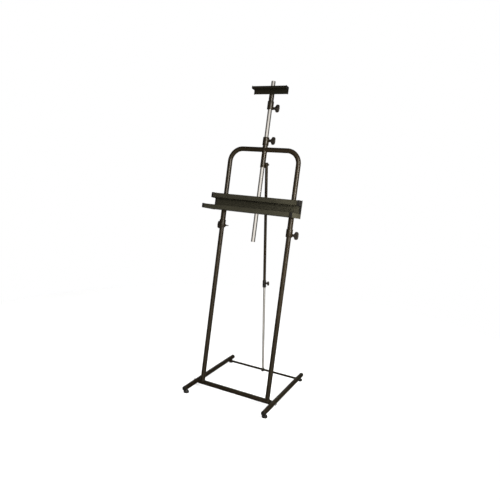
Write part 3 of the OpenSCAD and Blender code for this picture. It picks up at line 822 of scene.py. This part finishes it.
def make_hood():
    low, high = span("holder_hood", LEANING)
    back, front = -high.y, -low.y
    lip = span("holder_hood", LEANING, lambda p: -p.y > back + FORWARD_OF)[0].z
    line = [(back + HALF, low.z + HALF, 0), (back + HALF, high.z - HALF, BEND),
            (front - HALF, high.z - HALF, BEND), (front - HALF, lip + HALF, HEM_BEND),
            (front - HALF - 2*HEM_BEND, lip + HALF, HEM_BEND), (front - HALF - 2*HEM_BEND, lip + HEM, 0)]
    piece("hood_sheet", [across(folded(line, SHEET), low.x, high.x, SHEET_BEVEL)], "hood_paint",
          "top_clamp", ("holder_hood",), LEANING)
    piece("hood_rivet_heads", rivet_heads("holder_rivets", [0.0]), "hood_paint", "top_clamp",
          ("holder_rivets",), LEANING)
    margin = CAP_MARGIN
    outline = rounded([
        (back - margin, low.z - margin, 2*MM), (back + SHEET + margin, low.z - margin, 1.2*MM),
        (back + SHEET + margin, lip - margin, 2*MM), (front + margin, lip - margin, 2.5*MM),
        (front + margin, high.z + margin, 3*MM), (back - margin, high.z + margin, 3*MM)])
    for name in SIDES:
        near, far = span(f"holder_cap_{name}", LEANING)
        piece(f"hood_cap_{name}", [across(outline, near.x, far.x, END_BEVEL)], "black_plastic",
              "top_clamp", (f"holder_cap_{name}",), LEANING)


make_hood()


PANEL_LOW, PANEL_HIGH = span("ledge_panel", LEANING)
SHELF_LOW, SHELF_HIGH = span("ledge_shelf", LEANING)
# Distances forward of the uprights' axis
LEDGE_BACK = -PANEL_HIGH.y
PANEL_FACE = LEDGE_BACK + SHEET
GROOVE_FRONT = -PANEL_LOW.y
SHELF_FRONT = -SHELF_LOW.y
LIP_TOP = span("ledge_panel", LEANING, lambda p: -p.y > PANEL_FACE + FORWARD_OF)[1].z
# Flanges by which the groove and the shelf are fixed to the panel
GROOVE_FLANGE = 16*MM
SHELF_FLANGE = 10*MM


def make_panel():
    """Back panel with hemmed edges, and the groove folded from a second sheet."""
    low, high = PANEL_LOW, PANEL_HIGH
    middle = LEDGE_BACK + HALF
    hem = middle + 2*HEM_BEND
    sheet = folded([(hem, low.z + HEM, 0), (hem, low.z + HALF, HEM_BEND), (middle, low.z + HALF, HEM_BEND),
                    (middle, high.z - HALF, HEM_BEND), (hem, high.z - HALF, HEM_BEND),
                    (hem, high.z - HEM, 0)], SHEET)
    groove = folded([(PANEL_FACE + HALF, GROOVE_Z + GROOVE_FLANGE, 0),
                     (PANEL_FACE + HALF, GROOVE_Z + HALF, BEND),
                     (GROOVE_FRONT - HALF, GROOVE_Z + HALF, BEND)]
                    + hem_up(GROOVE_FRONT - HALF, LIP_TOP), SHEET)
    piece("panel_sheet", [across(s, low.x, high.x, SHEET_BEVEL) for s in (sheet, groove)], "ledge_paint",
          "ledge", ("ledge_panel",), LEANING)


def make_shelf():
    low, high = SHELF_LOW, SHELF_HIGH
    shelf = folded([(PANEL_FACE + HALF, low.z + SHELF_FLANGE, 0), (PANEL_FACE + HALF, low.z + HALF, BEND),
                    (SHELF_FRONT - HALF, low.z + HALF, BEND)]
                   + hem_up(SHELF_FRONT - HALF, high.z), SHEET)
    piece("shelf_sheet", [across(shelf, low.x, high.x, SHEET_BEVEL)], "ledge_paint", "ledge",
          ("ledge_shelf",), LEANING)


def make_ledge_rivets():
    piece("panel_rivet_heads", rivet_heads("ledge_rivets", [-LEG_X, LEG_X]), "ledge_paint", "ledge",
          ("ledge_rivets",), LEANING)


PLATE_INSET = 0.8*MM
PLATE_INNER = 3*MM
PLUG_LENGTH = 12*MM


def make_ledge_ends():
    """End plates painted like the ledge, and black plugs in the ends of the groove and the shelf's lip."""
    margin = CAP_MARGIN
    back, panel, groove_front, shelf_front = LEDGE_BACK, PANEL_FACE, GROOVE_FRONT, SHELF_FRONT
    bottom, top, shelf_top = PANEL_LOW.z, PANEL_HIGH.z, SHELF_HIGH.z
    plate = rounded([
        (back - margin, bottom - margin, 2*MM), (shelf_front + margin, bottom - margin, 3*MM),
        (shelf_front + margin, shelf_top + margin, 4*MM), (panel + margin, shelf_top + margin, 3*MM),
        (panel + margin, GROOVE_Z - margin, 2*MM), (groove_front + margin, GROOVE_Z - margin, 3*MM),
        (groove_front + margin, LIP_TOP + margin, 4*MM),
        (panel + 2*margin + SHEET, LIP_TOP + margin, 0.5*MM),
        (panel + 2*margin + SHEET, top + margin, 1.5*MM), (back - margin, top + margin, 1.5*MM)])
    groove_end = rounded([
        (panel + 3*margin, GROOVE_Z - margin, 2*MM), (groove_front + margin, GROOVE_Z - margin, 3*MM),
        (groove_front + margin, LIP_TOP + margin, 4*MM), (panel + 3*margin, LIP_TOP + margin, 2*MM)])
    lip_end = rounded([
        (shelf_front - 4*margin, bottom - margin, 1*MM), (shelf_front + margin, bottom - margin, 3*MM),
        (shelf_front + margin, shelf_top + margin, 2.5*MM),
        (shelf_front - 4*margin, shelf_top + margin, 2*MM)])
    wrap = rounded([(panel + 0.1*MM, bottom + 12*MM, 0.2*MM), (panel + margin, bottom + 12*MM, 0.7*MM),
                    (panel + margin, GROOVE_Z - 1*MM, 0.7*MM), (panel + 0.1*MM, GROOVE_Z - 1*MM, 0.2*MM)])
    for name, side in SIDES.items():
        near, far = span(f"ledge_cap_{name}", LEANING)
        outer, inner = (far.x, near.x) if side > 0 else (near.x, far.x)
        plate_x = sorted((outer - side*PLATE_INSET, outer - side*PLATE_INNER))
        plug_x = sorted((outer, outer - side*PLUG_LENGTH))
        wrap_x = sorted((outer - side*1*MM, inner))
        piece(f"ledge_end_{name}", [across(plate, *plate_x, END_BEVEL)], "ledge_paint", "ledge",
              (f"ledge_cap_{name}",), LEANING)
        piece(f"ledge_plugs_{name}", [across(s, *plug_x, END_BEVEL) for s in (groove_end, lip_end)]
              + [across(wrap, *wrap_x, 0.4*MM)], "black_plastic", "ledge", (), LEANING)


make_panel()
make_shelf()
make_ledge_rivets()
make_ledge_ends()


# ---------------------------------------------------------------- strut

ROD_R = span("strut_rod", STRUT)[1].x
STRUT_TUBE_R = span("strut_tube", STRUT)[1].x
RIBS = 12
RIB_DEPTH = 0.45*MM
COLLAR_SEGMENTS = 96


def make_collar():
    """Collar at the tube's lower end, ribbed for grip, with a step inside that the tube stands on."""
    low, high = span("strut_collar", STRUT)
    radius, rod, tube = high.x, ROD_R, STRUT_TUBE_R
    step = 2*MM

    def ribbed(a):
        return radius - RIB_DEPTH*max(0.0, math.cos(RIBS*a))

    outside = [(rod + 0.5*MM, low.z), (radius - 1.2*MM, low.z), (radius - 0.3*MM, low.z + 0.5*MM),
               (radius, low.z + 1.4*MM), (ribbed, low.z + 3*MM), (ribbed, low.z + 14*MM),
               (radius, low.z + 16*MM), (radius, high.z - 6*MM), (radius - 0.4*MM, high.z - 5*MM),
               (tube + 1.2*MM, high.z - 0.6*MM), (tube + 0.7*MM, high.z)]
    inside = [(tube + 0.05*MM, high.z), (tube + 0.05*MM, low.z + step), (rod + 0.15*MM, low.z + step),
              (rod + 0.15*MM, low.z + 0.4*MM)]
    rings = [circle(r, z, COLLAR_SEGMENTS) for r, z in outside + inside]
    piece("collar", [loft(rings, wrap=True)], "black_plastic", "strut_outer", ("strut_collar",), STRUT)


def make_thumb_knob():
    low, high = span("strut_knob", THUMB)
    piece("thumb_grip", [wing_knob(low.z, high.z, high.x, high.y, THUMB_WING_T)], "knob_plastic",
          "knob_strut", ("strut_knob",), THUMB)
    low, high = span("strut_knob_screw", THUMB)
    piece("thumb_screw", [threaded(high.y, low.z, high.z, SCREW_PITCH)], "zinc", "knob_strut",
          ("strut_knob_screw",), THUMB)


def make_rod():
    """Sliding rod with chamfered ends."""
    low, high = span("strut_rod", STRUT)
    chamfer = 0.8*MM
    ends = [(ROD_R - chamfer, low.z), (ROD_R, low.z + chamfer), (ROD_R, high.z - chamfer),
            (ROD_R - chamfer, high.z)]
    piece("strut_bar", [lathe(ends, segments=72)], "chrome", "strut_inner", ("strut_rod",), STRUT)


def make_strut_pivot():
    """Bolt through the lug and the strut's top, with its nut."""
    low, high = span("strut_pivot_nut", LEANING)
    centre = (low + high)/2
    where = LEANING @ place(centre, (1, 0, 0), (0, 0, 1))
    thick, flats = high.x - low.x, min(high.y - low.y, high.z - low.z)
    piece("pivot_nut", [nut(flats, NUT_BORE, -thick/2, thick/2)], "zinc", "frame", ("strut_pivot_nut",),
          where)
    bolt_low, bolt_high = span("strut_pivot_bolt", LEANING)
    lug = span("strut_lug", LEANING)[0].x
    head = nut(flats, 2.0*MM, bolt_low.x - centre.x, lug - centre.x)
    shank = threaded(3*MM, bolt_low.x - centre.x + 0.6*MM, bolt_high.x - centre.x, SCREW_PITCH)
    piece("pivot_screw", [head, shank], "zinc", "frame", ("strut_pivot_bolt",), where)


make_collar()
make_thumb_knob()
make_rod()
make_strut_pivot()


# ---------------------------------------------------------------- floor, light and camera

CAMERA_AZIMUTH = 25.65      # degrees, round to the easel's right
CAMERA_ELEVATION = 8.96
CAMERA_ROLL = 4.305
CAMERA_DISTANCE = 2.3538
CAMERA_TARGET = Vector((0.0343, JOINTS["frame_tilt"]["pos_m"][1], 0.8132))
LENS_MM = 33.04
SENSOR_MM = 36.0


def direction(azimuth, elevation):
    """From the easel out, with azimuth 0 in front of it and growing to its right."""
    a, e = math.radians(azimuth), math.radians(elevation)
    return Vector((math.sin(a)*math.cos(e), -math.cos(a)*math.cos(e), math.sin(e)))


def make_camera():
    data = bpy.data.cameras.new("camera")
    data.lens = LENS_MM
    data.sensor_width = SENSOR_MM
    camera = bpy.data.objects.new("camera", data)
    back = direction(CAMERA_AZIMUTH, CAMERA_ELEVATION)
    turn = back.to_track_quat("Z", "Y").to_matrix().to_4x4()
    roll = Matrix.Rotation(math.radians(CAMERA_ROLL), 4, "Z")
    camera.matrix_world = Matrix.Translation(CAMERA_TARGET + back*CAMERA_DISTANCE) @ turn @ roll
    bpy.context.scene.collection.objects.link(camera)
    bpy.context.scene.camera = camera


make_camera()


FLOOR_RADIUS = 2.4
FLOOR_SIDES = 96
FLOOR_GLOW = 0.64      # makes the floor just as white as the backdrop, and its shadows faint


def make_floor():
    mesh = bpy.data.meshes.new("floor")
    mesh.from_pydata(circle(FLOOR_RADIUS, 0.0, FLOOR_SIDES), [], [tuple(range(FLOOR_SIDES))])
    floor = bpy.data.objects.new("floor", mesh)
    bpy.context.scene.collection.objects.link(floor)
    s = Surface("floor", Specular_IOR_Level=0.0)
    s.colour(s.blend(s.noise(3.0, 2.0), (0.36, 0.36, 0.358), (0.38, 0.38, 0.378)))
    s.shader.inputs["Roughness"].default_value = 1.0
    s.shader.inputs["Emission Color"].default_value = (1, 1, 1, 1)
    s.shader.inputs["Emission Strength"].default_value = FLOOR_GLOW
    mesh.materials.append(s.material)
    floor.visible_glossy = False


make_floor()

# Soft boxes: name, azimuth, elevation, distance, width, height, watts, and what they act on:
# the colour of every surface, the shine of chrome, or, as "paint", the shine of all that isn't chrome
LIGHTS = (
    ("highlight", 50.0, 22.0, 4.2, 0.5, 2.2, 320.0, "paint"),
    ("side", 66.0, 8.0, 1.0, 0.35, 0.8, 50.0, "colour"),
    ("key", 0.0, 14.0, 3.0, 1.4, 1.2, 85.0, "colour"),
    ("rim", CAMERA_AZIMUTH + 180, 20.0, 4.0, 0.5, 2.4, 60.0, "chrome"),
    ("back", 170.0, 30.0, 4.0, 1.6, 1.6, 60.0, "colour"),
)
LIGHT_AIM = Vector((0.0, 0.0, 0.85))


def make_lights():
    groups = {name: bpy.data.collections.new(name) for name in ("chrome", "paint")}
    for thing in [t for t in bpy.context.scene.objects if t.type == "MESH"]:
        shiny = MATERIALS["chrome"] in thing.data.materials[:]
        groups["chrome" if shiny else "paint"].objects.link(thing)
    for name, azimuth, elevation, distance, width, height, watts, acts_on in LIGHTS:
        data = bpy.data.lights.new(name, "AREA")
        data.shape = "RECTANGLE"
        data.size = width
        data.size_y = height
        data.energy = watts
        light = bpy.data.objects.new(name, data)
        light.visible_camera = False
        light.visible_glossy = acts_on != "colour"
        light.visible_diffuse = acts_on == "colour"
        if acts_on in groups:
            light.light_linking.receiver_collection = groups[acts_on]
        back = direction(azimuth, elevation)
        light.matrix_world = (Matrix.Translation(LIGHT_AIM + back*distance)
                              @ back.to_track_quat("Z", "Y").to_matrix().to_4x4())
        bpy.context.scene.collection.objects.link(light)


make_lights()

BACKDROP = 1.0       # brightness behind the object
WASH = 0.62          # even light on everything
FACING = direction(CAMERA_AZIMUTH + 8.0, 0.0)
# What glossy surfaces mirror: (cosine of the angle from FACING, brightness)
MIRRORED = ((-1.0, 0.22), (-0.6, 0.09), (0.34, 0.13), (0.98, 1.05))
WARM = (1.0, 0.965, 0.91)


def make_world():
    """A white backdrop. Glossy surfaces mirror a room that is bright in front and dark at its sides."""
    world = bpy.data.worlds.new("studio")
    bpy.context.scene.world = world
    tree = nodes_of(world)
    new, link = tree.nodes.new, tree.links.new

    def light(colour, strength):
        node = new("ShaderNodeBackground")
        node.inputs["Color"].default_value = (*colour, 1)
        node.inputs["Strength"].default_value = strength
        return node

    def mix(fac, a, b):
        node = new("ShaderNodeMixShader")
        link(fac, node.inputs["Fac"])
        link(a.outputs[0], node.inputs[1])
        link(b.outputs[0], node.inputs[2])
        return node

    way = new("ShaderNodeTexCoord")
    dot = new("ShaderNodeVectorMath")
    shade = new("ShaderNodeValToRGB")
    dot.operation = "DOT_PRODUCT"
    dot.inputs[1].default_value = FACING
    share = new("ShaderNodeMapRange")
    share.inputs["From Min"].default_value = -1.0
    shade.color_ramp.interpolation = "EASE"
    stops = shade.color_ramp.elements
    while len(stops) < len(MIRRORED):
        stops.new(0.5)
    for stop, (cosine, bright) in zip(stops, MIRRORED):
        stop.position = (cosine + 1)/2
        stop.color = (*(bright*c for c in WARM), 1)
    link(way.outputs["Generated"], dot.inputs[0])
    link(dot.outputs["Value"], share.inputs["Value"])
    link(share.outputs["Result"], shade.inputs["Fac"])
    walls = light(WARM, 1.0)
    link(shade.outputs["Color"], walls.inputs["Color"])
    path = new("ShaderNodeLightPath")
    out = new("ShaderNodeOutputWorld")
    lit = mix(path.outputs["Is Diffuse Ray"], walls, light((1, 1, 1), WASH))
    seen = mix(path.outputs["Is Camera Ray"], lit, light((1, 1, 1), BACKDROP))
    link(seen.outputs[0], out.inputs["Surface"])


make_world()
bpy.context.scene.view_settings.view_transform = "Standard"
